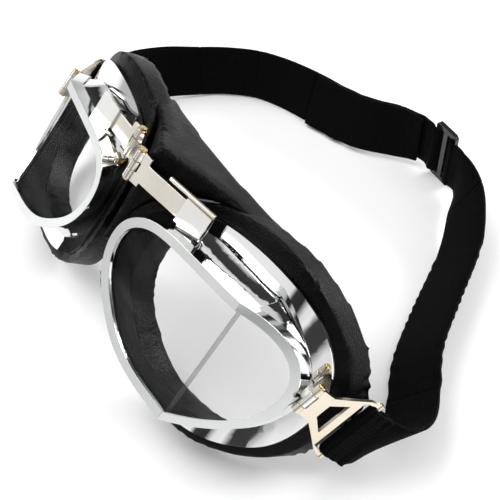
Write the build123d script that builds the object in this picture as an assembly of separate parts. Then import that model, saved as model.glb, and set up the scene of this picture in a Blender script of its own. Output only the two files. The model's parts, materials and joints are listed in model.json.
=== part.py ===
from build123d import *
import math
import os

os.makedirs("parts", exist_ok=True)

# Split-lens motorcycle goggles, in millimetres.
# Modelled as worn: X across the face, -Y out of the lenses, +Z up, X = 0 between the eyes
# and y = 0, z = 0 at the foot of each eyepiece's lens seam. At the end the whole object is
# tipped back onto the face cushion and strap, and its origin is put at its box's bottom centre.

# Driving sizes of an eyepiece
noseHalf = 12.48        # from the centre plane to the nose edge of the opening
innerAngle = 11.0       # inner pane, turned forward towards the nose, degrees
outerAngle = 45.0       # outer pane, turned back round the temple, degrees
lensHeight = 48.0       # height of the opening at the seam
innerWidth = 53.1       # opening of the inner pane, along the pane
outerWidth = 30.6       # opening of the outer pane, along the pane
rimFace = 3.6           # width of the chrome front rim
rimPlate = 1.4          # rim sheet in front of the glass, along Y
rimSkirt = 4.6          # depth of the rim's skirt behind that sheet, along Y
rimWall = 1.1
glassThickness = 1.8    # along Y
glassLap = 1.7          # how far the glass runs under the rim
gasketThickness = 1.0
gasketLap = 0.3
seamWidth = 0.7         # sealing strip between the panes
cupLip = 2.2            # cup's front lip, outside the opening
cupWall = 1.2
flangeThickness = 1.3
flangeInset = 2.0
cupMidDepth = 9.0       # where the cup stops being straight and starts to flare
seatClearance = 0.05    # between pieces that seat on each other

# Face cushion
cushionDepth = 14.0
cushionOverhang = 4.6   # outside the flange
cushionInside = 3.0     # inside the flange's hole
leatherSkin = 1.6
liningThickness = 1.8

# Bridge
barHeight = 7.7
barThickness = 1.4
bridgeLift = 3.9        # bar's lower edge above the opening
barAngle = 20.0         # bar and right sleeve, turned back from X
pinRadius = 0.9
pinClearance = 0.06
knuckleRadius = 1.9
pinDrop = 1.6           # knuckles reach below the bar
pinRise = 2.6           # and above it
pinHead = 1.1
knuckleGap = 0.25
rightPin = (-2.6, -9.4)
leftPin = (-18.2, 0.4)
sleeveLength = 12.0
sleeveWall = 0.9
sleeveClearance = 0.15
sleeveMouth = 24.6      # from the right pin to the right sleeve
leftSleeveMouth = 14.2  # from the left pin to the left sleeve
barReach = 4.0          # bar's end past the mouth of its sleeve at the widest setting
slideTravel = 3.0
guideRadius = 0.9
guideReach = 10.0

# Strap hooks
hookLeanBack = 12.0
hookLeanOut = 7.0
hookHeading = 60.0      # direction of the hook from +X towards the back
hookLength = 22.0
hookBarWidth = 30.0
hookNeckWidth = 12.5
hookThickness = 1.5
hookBarrel = 1.7
hookPinRadius = 0.8
lugThickness = 1.6
wireWidth = 3.0          # crossbar next to the strap
legWidth = 1.2

# Strap
strapWidth = 25.0
strapThickness = 1.7
strapGap = 0.5
tipBack = 38.6          # degrees
sliderWidth = 30.5
sliderLength = 13.0
sliderThickness = 2.0
sliderBar = 2.6
sliderTravel = 4.0

innerSpan = innerWidth * math.cos(math.radians(innerAngle))     # openings as seen from the front
outerSpan = outerWidth * math.cos(math.radians(outerAngle))
seamX = noseHalf + innerSpan                                    # seam between the two panes
bridgeFoot = lensHeight + bridgeLift
hookPinAt = (seamX + 1.34 * outerSpan, 22.5, 0.75 * lensHeight)

tip = Rot(-tipBack, 0, 0)
parts = {}


def sheared(x, y0, slope):
    """Depth of a flat plane through the seam line, leaning with x."""
    return y0 + slope * (x - seamX)


innerSlope = math.tan(math.radians(innerAngle))
outerSlope = math.tan(math.radians(outerAngle))

# Opening outlines, each half on its own pane: along the pane from the seam, and up.
innerOpening = [
    (0, lensHeight),
    (0.23 * innerWidth, lensHeight - 0.5),
    (0.46 * innerWidth, lensHeight - 0.8),
    (0.69 * innerWidth, lensHeight - 1.4),
    (0.88 * innerWidth, lensHeight - 4.0),
    (0.98 * innerWidth, 0.81 * lensHeight),
    (innerWidth, 0.67 * lensHeight),
    (0.93 * innerWidth, 0.45 * lensHeight),
    (0.765 * innerWidth, 0.258 * lensHeight),
    (0.58 * innerWidth, 0.119 * lensHeight),
    (0.37 * innerWidth, 0.042 * lensHeight),
    (0.16 * innerWidth, 0.012 * lensHeight),
    (0, 0),
]
outerOpening = [
    (0, lensHeight),
    (0.33 * outerWidth, lensHeight - 0.5),
    (0.60 * outerWidth, lensHeight - 2.5),
    (0.83 * outerWidth, 0.865 * lensHeight),
    (0.97 * outerWidth, 0.74 * lensHeight),
    (outerWidth, 0.585 * lensHeight),
    (0.91 * outerWidth, 0.405 * lensHeight),
    (0.72 * outerWidth, 0.246 * lensHeight),
    (0.39 * outerWidth, 0.102 * lensHeight),
    (0.16 * outerWidth, 0.035 * lensHeight),
    (0, 0),
]
# Edge of the flange as seen from the front, from the seam's top towards the nose and round.
flangeTop = lensHeight + 14.4
flangeFoot = -9.0
flangeInner = [
    (seamX, flangeTop),
    (seamX - 0.203 * innerSpan, flangeTop + 0.4),
    (seamX - 0.395 * innerSpan, flangeTop - 0.4),
    (seamX - 0.587 * innerSpan, flangeTop - 2.0),
    (seamX - 0.760 * innerSpan, flangeTop - 4.6),
    (seamX - 0.923 * innerSpan, flangeTop - 9.6),
    (seamX - 1.038 * innerSpan, flangeTop - 17.5),
    (seamX - 1.086 * innerSpan, 0.66 * lensHeight),
    (seamX - 1.063 * innerSpan, 0.38 * lensHeight),
    (seamX - 0.942 * innerSpan, 0.11 * lensHeight),
    (seamX - 0.741 * innerSpan, flangeFoot + 4.6),
    (seamX - 0.510 * innerSpan, flangeFoot - 1.2),
    (seamX - 0.261 * innerSpan, flangeFoot - 1.8),
    (seamX, flangeFoot),
]
flangeOuter = [
    (seamX, flangeTop),
    (seamX + 0.388 * outerSpan, flangeTop - 1.8),
    (seamX + 0.735 * outerSpan, flangeTop - 5.4),
    (seamX + 1.035 * outerSpan, flangeTop - 11.8),
    (seamX + 1.248 * outerSpan, flangeTop - 20.6),
    (seamX + 1.340 * outerSpan, 0.66 * lensHeight),
    (seamX + 1.294 * outerSpan, 0.38 * lensHeight),
    (seamX + 1.063 * outerSpan, 0.11 * lensHeight),
    (seamX + 0.619 * outerSpan, flangeFoot + 5.6),
    (seamX + 0.296 * outerSpan, flangeFoot + 2.0),
    (seamX, flangeFoot),
]


def grow(points, amount):
    """Points moved outwards by amount, square to the outline; the two ends stay on the seam."""
    moved = []
    last = len(points) - 1
    heading = 1 if points[1][0] > points[0][0] else -1
    for i, (a, b) in enumerate(points):
        if i == 0:
            moved.append((a, b + amount))
            continue
        if i == last:
            moved.append((a, b - amount))
            continue
        da = points[i + 1][0] - points[i - 1][0]
        db = points[i + 1][1] - points[i - 1][1]
        size = math.hypot(da, db)
        moved.append((a - heading * amount * db / size, b + heading * amount * da / size))
    return moved


def halfFace(points, y0, slope, along):
    """Flat face of one half. along turns an outline's first value into x; +1 or -1 per mm."""
    placed = [Vector(seamX + along * a, sheared(seamX + along * a, y0, slope), b) for a, b in points]
    curve = Spline(placed)
    closing = Line(placed[-1], placed[0])
    return make_face([curve, closing])


def paneFace(which, amount, y0=0.0):
    if which == "inner":
        points = grow(innerOpening, amount)
        return halfFace(points, y0, innerSlope, -math.cos(math.radians(innerAngle)))
    points = grow(outerOpening, amount)
    return halfFace(points, y0, outerSlope, math.cos(math.radians(outerAngle)))


def paneSlab(which, amount, y0, depth):
    return extrude(paneFace(which, amount, y0), amount=depth, dir=(0, 1, 0))


def bothPanes(amount, y0, depth):
    return paneSlab("inner", amount, y0, depth) + paneSlab("outer", amount, y0, depth)


def flangePrism(amount, low=-30.0, high=70.0):
    """The flange's outline grown by amount, as a prism along Y."""
    loop = flangeInner[:-1] + flangeOuter[:0:-1]
    count = len(loop)
    ring = []
    for i, (x, z) in enumerate(loop):
        before, after = loop[i - 1], loop[(i + 1) % count]
        dx, dz = after[0] - before[0], after[1] - before[1]
        size = math.hypot(dx, dz)
        ring.append(Vector(x + amount * dz / size, low, z - amount * dx / size))
    return extrude(make_face(Spline(ring, periodic=True)), amount=high - low, dir=(0, 1, 0))


# Surface of the face side, seen from above: forward at the nose, back at the temples.
faceCurve = [
    (-2, -10.5),
    (8, -3.5),
    (14, 1),
    (20, 5),
    (27, 8.5),
    (noseHalf + 0.528 * innerSpan, 12),
    (seamX, 17),
    (seamX + 0.619 * outerSpan, 23),
    (seamX + 1.081 * outerSpan, 30),
    (seamX + 1.543 * outerSpan, 39),
]


def behind(shift, depth, low=-60.0, high=110.0):
    """Slab that follows the face surface, starting shift behind it, depth thick."""
    front = Spline([Vector(x, y + shift, low) for x, y in faceCurve])
    back = Spline([Vector(x, y + shift + depth, low) for x, y in faceCurve])
    face = make_face([front, Line(front @ 1, back @ 1), back, Line(back @ 0, front @ 0)])
    return extrude(face, amount=high - low, dir=(0, 0, 1))


# ---- Eyepiece ----
glassFront = seatClearance
gasketFront = glassFront + glassThickness + seatClearance
cupFront = gasketFront + gasketThickness + seatClearance
backInnerSlope = 0.32
backOuterSlope = 0.60
backDepth = 23.0
midInnerSlope = math.tan(math.radians(innerAngle + 2))
midOuterSlope = math.tan(math.radians(outerAngle - 5))


def cupLoft(which, front, middle, back):
    """Front lip, straight part and flare of one half of the cup."""
    inner = which == "inner"
    slopes = (innerSlope, midInnerSlope, backInnerSlope) if inner else (outerSlope, midOuterSlope, backOuterSlope)
    along = -math.cos(math.radians(innerAngle)) if inner else math.cos(math.radians(outerAngle))
    opening = innerOpening if inner else outerOpening
    flange = flangeInner if inner else flangeOuter
    count = len(opening)
    sections = []
    for amount, y0, slope, source, scale in (
        (front[0], front[1], slopes[0], opening, along),
        (middle[0], middle[1], slopes[1], opening, along),
        (back[0], back[1], slopes[2], flange, None),
    ):
        points = grow(source, amount)
        if scale is None:
            points = [(x - seamX, z) for x, z in points]
            scale = 1
        sections.append(halfFace(points, y0, slope, scale))
    return loft(sections)


cupOuter = None
cupHollow = None
for half in ("inner", "outer"):
    shell = cupLoft(half, (cupLip, cupFront), (cupLip + 0.6, cupMidDepth), (-flangeInset, backDepth))
    room = cupLoft(
        half,
        (cupLip - cupWall, cupFront - 0.5),
        (cupLip + 0.6 - cupWall, cupMidDepth),
        (-flangeInset - cupWall, backDepth + 0.5),
    )
    cupOuter = shell if cupOuter is None else cupOuter + shell
    cupHollow = room if cupHollow is None else cupHollow + room
ahead = behind(-70, 70)
flangePlate = flangePrism(0) & behind(-flangeThickness, flangeThickness)
cup = (cupOuter & ahead) + flangePlate - cupHollow

rim = bothPanes(rimFace, -rimPlate, rimPlate + rimSkirt) - bothPanes(rimFace - rimWall, 0, rimSkirt + 1)
rim -= bothPanes(0, -rimPlate - 1, rimPlate + 2)
gasket = bothPanes(glassLap, gasketFront, gasketThickness) - bothPanes(gasketLap, gasketFront - 1, 4)
seamGap = Pos(seamX, 0, 0) * Box(seamWidth, 40, 200)
seamStrip = bothPanes(glassLap, glassFront, glassThickness) & (
    Pos(seamX, 0, 0) * Box(seamWidth - 0.1, 40, 200)
)
for half in ("inner", "outer"):
    parts[f"lens_{half}_pane_right"] = paneSlab(half, glassLap, glassFront, glassThickness) - seamGap
parts["lens_rim_right"] = rim
parts["lens_gasket_right"] = gasket
parts["lens_seam_strip_right"] = seamStrip
parts["cup_right"] = cup

# ---- Face cushion: leather channel, foam core and soft lining, one ring round each eye ----
def cushionRing(outside, inside, shift, depth):
    ring = flangePrism(outside) - flangePrism(inside)
    return ring & behind(shift, depth)


outside = cushionOverhang
inside = -flangeInset - cupWall - cushionInside
skinDepth = cushionDepth - liningThickness
leather = cushionRing(outside, inside, seatClearance, skinDepth)
leather -= cushionRing(
    outside - leatherSkin, inside + leatherSkin, seatClearance + leatherSkin, skinDepth
)
foam = cushionRing(
    outside - leatherSkin - seatClearance,
    inside + leatherSkin + seatClearance,
    2 * seatClearance + leatherSkin,
    skinDepth - leatherSkin - seatClearance,
)
lining = cushionRing(outside, inside, skinDepth + 2 * seatClearance, liningThickness)
parts["cushion_leather_right"] = leather
parts["cushion_foam_right"] = foam
parts["cushion_lining_right"] = lining

for name in list(parts):
    parts[name.replace("_right", "_left")] = mirror(parts[name], about=Plane.YZ)

# Nose piece of the cushion: fills the notch between the two rings and backs the brow straight across.
noseShift = 3.5
noseGap = 0.35
noseBrow = 26.0         # depth of its back face at the top
noseLean = 34.0         # its back face leans forward below, clear of the nose
noseTop = flangeTop + cushionOverhang - 0.4
noseFoot = 0.5 * lensHeight
noseReach = noseHalf + 0.75 * innerSpan
noseBlock = Pos(0, 20, (noseTop + noseFoot) / 2) * Box(2 * noseReach, 120, noseTop - noseFoot)
ringPrism = flangePrism(cushionOverhang + noseGap)
noseBlock -= ringPrism
noseBlock -= mirror(ringPrism, about=Plane.YZ)
noseFront = Spline([Vector(x, y + noseShift, -60) for x, y in faceCurve[:7]])
noseBack = ((-2, 0), (14, 0.4), (27, 1.6), (40, 3.2), (seamX, 8))
noseRear = Spline([Vector(x, noseBrow + rise, -60) for x, rise in noseBack])
noseSide = Line(noseFront @ 1, noseRear @ 1)
noseCentre = Line(noseRear @ 0, noseFront @ 0)
noseSlab = extrude(make_face([noseFront, noseSide, noseRear, noseCentre]), amount=170, dir=(0, 0, 1))
noseHalfSlab = noseSlab & (Pos(50, 0, 0) * Box(100, 400, 400))
noseWhole = noseHalfSlab + mirror(noseHalfSlab, about=Plane.YZ)
noseCut = Pos(0, noseBrow + 5, noseTop - 6) * Rot(-noseLean, 0, 0) * Pos(0, 50, -50) * Box(300, 100, 100)
nose = (noseBlock & noseWhole) - noseCut
nosePieces = sorted(nose.solids(), key=lambda s: -s.volume)
parts["cushion_nose_piece"] = nosePieces[0]

# ---- Bridge: bar in the right sleeve, hourglass link between two hinge pins, left tongue ----
heading = Vector(math.cos(math.radians(barAngle)), math.sin(math.radians(barAngle)), 0)
barFoot = bridgeFoot
barTop = bridgeFoot + barHeight
knuckleFoot = barFoot - pinDrop
knuckleTop = barTop + pinRise
knuckleHeight = knuckleTop - knuckleFoot
rightPinAt = Vector(rightPin[0], rightPin[1], knuckleFoot)
leftPinAt = Vector(leftPin[0], leftPin[1], knuckleFoot)


def barrel(at, low, high, radius):
    """Upright cylinder at a hinge pin, between two heights."""
    base = Plane(origin=(at.X, at.Y, low), z_dir=(0, 0, 1))
    return extrude(base * Circle(radius), amount=high - low)


def plateAlong(start, direction, length, low, high, thickness):
    """Upright flat plate from start along a level direction."""
    frame = Plane(origin=(start.X, start.Y, low), x_dir=direction, z_dir=(0, 0, 1))
    blank = Rectangle(length, thickness, align=(Align.MIN, Align.CENTER))
    return extrude(frame * blank, amount=high - low)


thirds = knuckleHeight / 3
boreRadius = pinRadius + pinClearance
towardsLeft = (leftPinAt - rightPinAt).normalized()
span = (leftPinAt - rightPinAt).length
linkLow = knuckleFoot + thirds + knuckleGap
linkHigh = knuckleTop - thirds - knuckleGap


def forkKnuckles(at, outer):
    """The two outer knuckles of a hinge, or its middle one."""
    if outer:
        lower = barrel(at, knuckleFoot, knuckleFoot + thirds, knuckleRadius)
        upper = barrel(at, knuckleTop - thirds, knuckleTop, knuckleRadius)
        return lower + upper
    return barrel(at, linkLow, linkHigh, knuckleRadius)


def room(at, outer):
    """Space for the other leaf's knuckles."""
    if outer:
        low = barrel(at, knuckleFoot - 1, linkLow - 0.01, knuckleRadius + 0.5)
        high = barrel(at, linkHigh + 0.01, knuckleTop + 1, knuckleRadius + 0.5)
        return low + high
    return barrel(at, linkLow - knuckleGap, linkHigh + knuckleGap, knuckleRadius + 0.5)


barLength = sleeveMouth + barReach + slideTravel
bar = plateAlong(rightPinAt, heading, barLength, barFoot, barTop, barThickness)
shoulder = plateAlong(rightPinAt, heading, 5.5, knuckleFoot, knuckleTop, barThickness)
bar = bar + shoulder - room(rightPinAt, False) + forkKnuckles(rightPinAt, True)
bar -= barrel(rightPinAt, knuckleFoot - 1, knuckleTop + 1, boreRadius)
parts["bridge_bar"] = bar

waist = 2.6
linkPlate = plateAlong(rightPinAt, towardsLeft, span, knuckleFoot, knuckleTop, barThickness)
middle = (rightPinAt + leftPinAt) * 0.5
side = towardsLeft.cross(Vector(0, 0, 1))
for height in (knuckleFoot - 3.4, knuckleTop + 3.4):
    scoop = Plane(origin=(middle.X, middle.Y, height), x_dir=towardsLeft, z_dir=side)
    linkPlate -= extrude(scoop * Circle(3.4 + waist), amount=5, both=True)
link = linkPlate - room(rightPinAt, True) - room(leftPinAt, True)
link += forkKnuckles(rightPinAt, False) + forkKnuckles(leftPinAt, False)
link -= barrel(rightPinAt, knuckleFoot - 1, knuckleTop + 1, boreRadius)
link -= barrel(leftPinAt, knuckleFoot - 1, knuckleTop + 1, boreRadius)
parts["bridge_link"] = link

leftwards = Vector(-1, 0, 0)
tongueLength = leftSleeveMouth + barReach
tongue = plateAlong(leftPinAt, leftwards, tongueLength, barFoot, barTop, barThickness)
tongue += plateAlong(leftPinAt, leftwards, 5.0, knuckleFoot, knuckleTop, barThickness)
tongue = tongue - room(leftPinAt, False) + forkKnuckles(leftPinAt, True)
tongue -= barrel(leftPinAt, knuckleFoot - 1, knuckleTop + 1, boreRadius)
parts["bridge_tongue"] = tongue

for name, at in (("bridge_pin_right", rightPinAt), ("bridge_pin_left", leftPinAt)):
    pin = barrel(at, knuckleFoot, knuckleTop, pinRadius)
    pin += barrel(at, knuckleTop + seatClearance, knuckleTop + pinHead, pinRadius + 0.6)
    pin += barrel(at, knuckleTop - 0.1, knuckleTop + seatClearance, pinRadius)
    pin += barrel(at, knuckleFoot - 0.7, knuckleFoot - seatClearance, pinRadius + 0.4)
    pin += barrel(at, knuckleFoot - 0.2, knuckleFoot, pinRadius)
    parts[name] = pin


def makeSleeve(at, direction, mouth):
    """Flat box for the bar, with a foot that stands on the cup behind the rim."""
    start = at + direction * mouth
    grip = sleeveClearance + sleeveWall
    low, high = barFoot - grip, barTop + grip
    thickness = barThickness + 2 * grip
    outer = plateAlong(start, direction, sleeveLength, low, high, thickness)
    outer += plateAlong(start + direction * 2, direction, sleeveLength - 4, low - 3, low + 0.5, thickness)
    slotStart = start - direction * 1
    inner = plateAlong(
        slotStart,
        direction,
        sleeveLength + 2,
        barFoot - sleeveClearance,
        barTop + sleeveClearance,
        barThickness + 2 * sleeveClearance,
    )
    return outer - inner


def seated(piece, *others):
    """A piece with what it stands on cut away, so that the two meet face to face."""
    for other in others:
        piece = piece - other
    return max(piece.solids(), key=lambda s: s.volume)


flangeBand = flangePrism(0) & behind(-flangeThickness, flangeThickness + 30)
cupSolid = (cupOuter & ahead) + flangeBand
rimBlock = bothPanes(rimFace, -rimPlate, rimPlate + rimSkirt)
rightSleeve = makeSleeve(rightPinAt, heading, sleeveMouth)
parts["bridge_sleeve_right"] = seated(rightSleeve, cupSolid, rimBlock)
leftSleeve = makeSleeve(leftPinAt, leftwards, leftSleeveMouth)
parts["bridge_sleeve_left"] = seated(
    leftSleeve, mirror(cupSolid, about=Plane.YZ), mirror(rimBlock, about=Plane.YZ)
)
guideStart = rightPinAt + heading * (sleeveMouth - guideReach)
guideAt = Vector(guideStart.X, guideStart.Y, barTop + sleeveClearance + sleeveWall)
guideFrame = Plane(origin=guideAt + Vector(0, 0, guideRadius), z_dir=heading)
parts["bridge_guide_rail"] = extrude(guideFrame * Circle(guideRadius), amount=guideReach + sleeveLength)

# ---- Strap hooks, hinged on a lug at the outer end of each eyepiece ----
hookAxis = Vector(
    math.sin(math.radians(hookLeanOut)), math.sin(math.radians(hookLeanBack)), 1
).normalized()
level = Vector(math.cos(math.radians(hookHeading)), math.sin(math.radians(hookHeading)), 0)
along = (level - hookAxis * level.dot(hookAxis)).normalized()
hookPlane = Plane(origin=hookPinAt, x_dir=along, z_dir=along.cross(hookAxis))
axisPlane = Plane(origin=hookPinAt, x_dir=along, z_dir=hookAxis)
half = hookBarWidth / 2
neck = hookNeckWidth / 2


def hookRod(low, high, radius, reach=0.0):
    """Round piece along the hook's axis, reach away from the pin."""
    base = axisPlane.offset(low)
    return extrude(base * Pos(reach, 0) * Circle(radius), amount=high - low)


barX = hookLength
outline = Polyline(
    (0, neck),
    (0.30 * barX, neck),
    (0.55 * barX, 0.66 * half),
    (0.80 * barX, 0.92 * half),
    (barX, half),
    (barX, -half),
    (0.80 * barX, -0.92 * half),
    (0.55 * barX, -0.66 * half),
    (0.30 * barX, -neck),
    (0, -neck),
    close=True,
)
window = Polyline(
    (0.34 * barX, 0.20 * half),
    (0.60 * barX, 0.50 * half),
    (0.60 * barX, -0.50 * half),
    (0.34 * barX, -0.20 * half),
    close=True,
)
slotFront = 0.60 * barX + wireWidth
slot = Polyline(
    (slotFront, 0.88 * half - legWidth),
    (barX + 1, half - legWidth),
    (barX + 1, -half + legWidth),
    (slotFront, -0.88 * half + legWidth),
    close=True,
)
plate = make_face(outline) - make_face(window) - make_face(slot)
hook = extrude(hookPlane * plate, amount=hookThickness / 2, both=True)
hook += hookRod(-half, half, hookThickness * 0.75, barX)
lugHalf = neck - 3.4
hook -= hookRod(-lugHalf - 0.2, lugHalf + 0.2, hookBarrel + 0.5)
hook += hookRod(-neck, -lugHalf - 0.2, hookBarrel) + hookRod(lugHalf + 0.2, neck, hookBarrel)
hook -= hookRod(-neck - 1, neck + 1, hookPinRadius + pinClearance)
parts["strap_hook_right"] = hook
hookPin = hookRod(-neck, neck, hookPinRadius)
hookPin += hookRod(neck + seatClearance, neck + 0.8, hookPinRadius + 0.5)
hookPin += hookRod(neck - 0.1, neck + 0.1, hookPinRadius)
parts["hook_pin_right"] = hookPin
lug = hookRod(-lugHalf, lugHalf, hookBarrel)
lugEnd = Vector(*hookPinAt) + Vector(-5.6, 5.0, 0)
lugWay = lugEnd - Vector(*hookPinAt)
lugWay = lugWay - hookAxis * lugWay.dot(hookAxis)
lugFrame = Plane(origin=hookPinAt, x_dir=lugWay, z_dir=hookAxis).offset(-lugHalf)
lugSheet = Rectangle(lugWay.length, lugThickness, align=(Align.MIN, Align.CENTER))
lug += extrude(lugFrame * lugSheet, amount=2 * lugHalf)
lug -= hookRod(-neck - 1, neck + 1, hookPinRadius + pinClearance)
parts["hook_lug_right"] = seated(lug, cupSolid, rimBlock)
for name in ("strap_hook", "hook_pin", "hook_lug"):
    parts[name + "_left"] = mirror(parts[name + "_right"], about=Plane.YZ)

# ---- Strap, in the tipped frame, standing on its lower edge round the back ----
def tipped(v):
    """A worn-frame point or direction after tipping back."""
    c, s = math.cos(math.radians(tipBack)), math.sin(math.radians(tipBack))
    return Vector(v.X, v.Y * c + v.Z * s, -v.Y * s + v.Z * c)


rodRadius = hookThickness * 0.75
loopOuter = rodRadius + strapGap / 2 + strapThickness
loopReach = 9.0
doubled = 2 * strapThickness
loopShape = Pos(barX, 0) * Circle(loopOuter) + Pos(barX + loopReach / 2, 0) * Rectangle(loopReach, doubled)
loopShape -= Pos(barX, 0) * Circle(rodRadius + strapGap / 2)
loopPlane = axisPlane.offset(-strapWidth / 2)
strapLoop = extrude(loopPlane * loopShape, amount=strapWidth)
parts["strap_hook_loop_right"] = strapLoop
parts["strap_hook_loop_left"] = mirror(strapLoop, about=Plane.YZ)

loopEnd = tipped(Vector(*hookPinAt) + along * (barX + loopReach))
loopWay = tipped(along)
loopWidth = tipped(hookAxis)
floorDrop = -(tip * parts["cushion_lining_right"]).bounding_box().min.Z     # resting surface
spread = hookPinAt[0] / 93.6            # the loop widens with the eyepieces
sliderAt = Vector(4.5, 172.5, -floorDrop + sliderWidth / 2 + 0.1)
edgeLift = 0.3          # strap's lower edge above the resting surface
sliderLift = (sliderWidth - strapWidth) / 2 + 0.1 - edgeLift   # strap centred in the slider
bodyGap = 0.4           # between strap pieces that belong to different bodies

# Centre line by hand: x, y, lean of the band from upright, share of the hook's own tilt.
rightRun = [
    (109.6, 65.8, 50, 0.55),
    (105.5, 77.0, 48, 0.25),
    (95.5, 88.0, 46, 0),
    (81.0, 101.0, 45, 0),
    (66.0, 121.5, 45, 0),
    (51.5, 143.0, 43, 0),
    (41.0, 155.5, 36, 0),
    (29.5, 164.5, 26, 0),
    (17.5, 170.6, 0, 0),
]
leftRun = [
    (-8.5, 170.5, 0, 0),
    (-19.5, 164.8, 14, 0),
    (-30.5, 157.2, 19, 0),
    (-41.0, 152.4, 22, 0),
    (-52.0, 148.5, 22, 0),
    (-64.0, 144.4, 20, 0),
]
farRun = [
    (-76.0, 139.0, 16, 0),
    (-86.5, 131.8, 13, 0),
    (-95.4, 122.0, 12, 0),
    (-103.5, 110.0, 14, 0),
    (-110.0, 96.0, 20, 0.12),
    (-113.2, 82.5, 30, 0.30),
    (-112.6, 69.5, 42, 0.60),
]


def stationAt(x, y, lean, share, outward, hookWidth):
    """Centre and width direction of the band at one station."""
    a = math.radians(lean)
    width = Vector(outward.X * math.sin(a), outward.Y * math.sin(a), math.cos(a))
    width = (width * (1 - share) + hookWidth * share).normalized()
    away = math.hypot(x - sliderAt.X, y - sliderAt.Y)
    z = -floorDrop + edgeLift + strapWidth / 2 * width.Z
    z += sliderLift * max(0.0, 1 - max(0.0, away - 12) / 40)
    if share:
        z += share * (loopEnd.Z - z)
    return Vector(x, y, z), width


def bandStations(run, hookWidth, before, after):
    """Stations of a run; before and after are the centres that the run goes on from and to."""
    run = [(x * spread, y, lean, share) for x, y, lean, share in run]
    flat = [before] + [Vector(x, y, 0) for x, y, *_ in run] + [after]
    stations = []
    for i, (x, y, lean, share) in enumerate(run):
        way = Vector(flat[i + 2].X - flat[i].X, flat[i + 2].Y - flat[i].Y, 0).normalized()
        outward = Vector(-way.Y, way.X, 0) * -1
        if outward.dot(Vector(x, y - 40, 0)) < 0:
            outward = outward * -1
        stations.append(stationAt(x, y, lean, share, outward, hookWidth))
    return stations


def band(stations, thickness, shift=0.0, tangents=None):
    """Flat strap through stations, each a centre and a width direction."""
    sections = []
    last = len(stations) - 1
    for i, (centre, width) in enumerate(stations):
        way = stations[min(i + 1, last)][0] - stations[max(i - 1, 0)][0]
        if tangents and i in tangents:
            way = tangents[i]
        way = (way - width * way.dot(width)).normalized()
        frame = Plane(origin=centre, x_dir=width, z_dir=way)
        blank = Rectangle(strapWidth, thickness)
        sections.append(frame * Pos(0, shift if not callable(shift) else shift(i)) * blank)
    return loft(sections, ruled=True)


loopWidthLeft = Vector(-loopWidth.X, loopWidth.Y, loopWidth.Z)
loopEndLeft = Vector(-loopEnd.X, loopEnd.Y, loopEnd.Z)
loopWayLeft = Vector(-loopWay.X, loopWay.Y, loopWay.Z)
upright = Vector(0, 0, 1)
sliderHalf = sliderLength / 2
flatZ = sliderAt.Z
rise = sliderThickness / 2 + strapThickness / 2 + 0.1
barHalf = sliderBar / 2
endBar = 1.9

rightStations = bandStations(rightRun, loopWidth, loopEnd, sliderAt + Vector(sliderHalf, -rise, 0))
start = (loopEnd + loopWay * bodyGap, loopWidth)
weaveEnd = sliderHalf + 0.6


def atSlider(dx, dy):
    """Upright station beside the slider's middle."""
    return Vector(sliderAt.X + dx, sliderAt.Y + dy, flatZ), upright


rightAll = [start] + rightStations + [atSlider(weaveEnd + bodyGap, -rise)]
parts["strap_right"] = band(
    rightAll, strapThickness, tangents={0: loopWay, len(rightAll) - 1: Vector(-1, 0, 0)}
)
weave = [
    atSlider(weaveEnd, -rise),
    atSlider(sliderHalf - endBar, -rise),
    atSlider(barHalf, rise),
    atSlider(-barHalf, rise),
    atSlider(-sliderHalf + endBar, -rise),
    atSlider(-weaveEnd, -rise),
]
parts["strap_weave"] = band(weave, strapThickness, tangents=dict.fromkeys(range(6), Vector(-1, 0, 0)))

leftStations = bandStations(leftRun, loopWidthLeft, sliderAt - Vector(sliderHalf, rise, 0), Vector(-76, 139, 0))
leftStart = atSlider(-weaveEnd - bodyGap, -rise)
parts["strap_back"] = band([leftStart] + leftStations, strapThickness, tangents={0: Vector(-1, 0, 0)})
tailShift = strapThickness + 0.25
tailRun = bandStations(leftRun, loopWidthLeft, sliderAt - Vector(sliderHalf, 0, 0), Vector(-76, 139, 0))
parts["strap_tail"] = band(tailRun, strapThickness, shift=-tailShift)

farStations = bandStations(farRun, loopWidthLeft, Vector(-64, 144.4, 0), loopEndLeft)
farWay = (farStations[0][0] - leftStations[-1][0]).normalized()
joined = (leftStations[-1][0] + farWay * bodyGap, leftStations[-1][1])
finish = (loopEndLeft + loopWayLeft * bodyGap, loopWidthLeft)
farAll = [joined] + farStations + [finish]
parts["strap_left"] = band(
    farAll, strapThickness, tangents={0: farWay, len(farAll) - 1: loopWayLeft * -1}
)

sliderFrame = Plane(origin=sliderAt, x_dir=(0, 0, 1), z_dir=(0, 1, 0))
slotLength = sliderHalf - endBar - barHalf
slider = RectangleRounded(sliderWidth, sliderLength, 2.0)
for sign in (-1, 1):
    slider -= Pos(0, sign * (barHalf + slotLength / 2)) * Rectangle(strapWidth + 0.8, slotLength)
parts["strap_slider"] = extrude(sliderFrame * slider, amount=sliderThickness / 2, both=True)

# ---- Placing: tip the worn pieces back, then put the origin at the box's bottom centre ----
standing = ("strap_right", "strap_weave", "strap_back", "strap_tail", "strap_left", "strap_slider")
placed = {name: solid if name in standing else tip * solid for name, solid in parts.items()}
whole = Compound(children=[Compound(shape.solids()) for shape in placed.values()]).bounding_box()
home = Vector(-(whole.min.X + whole.max.X) / 2, -(whole.min.Y + whole.max.Y) / 2, -whole.min.Z)
for name, solid in placed.items():
    solids = [s.moved(Location(home)) for s in solid.solids()]
    export_step(solids[0] if len(solids) == 1 else Compound(solids), f"parts/{name}.step")


def report(name, point=None, way=None):
    """Prints a joint's place and direction in the finished frame, in millimetres."""
    if point is not None:
        print(name, "at", [round(c, 4) for c in tuple(point + home)])
    if way is not None:
        print(name, "axis", [round(c, 6) for c in tuple(way)])


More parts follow.
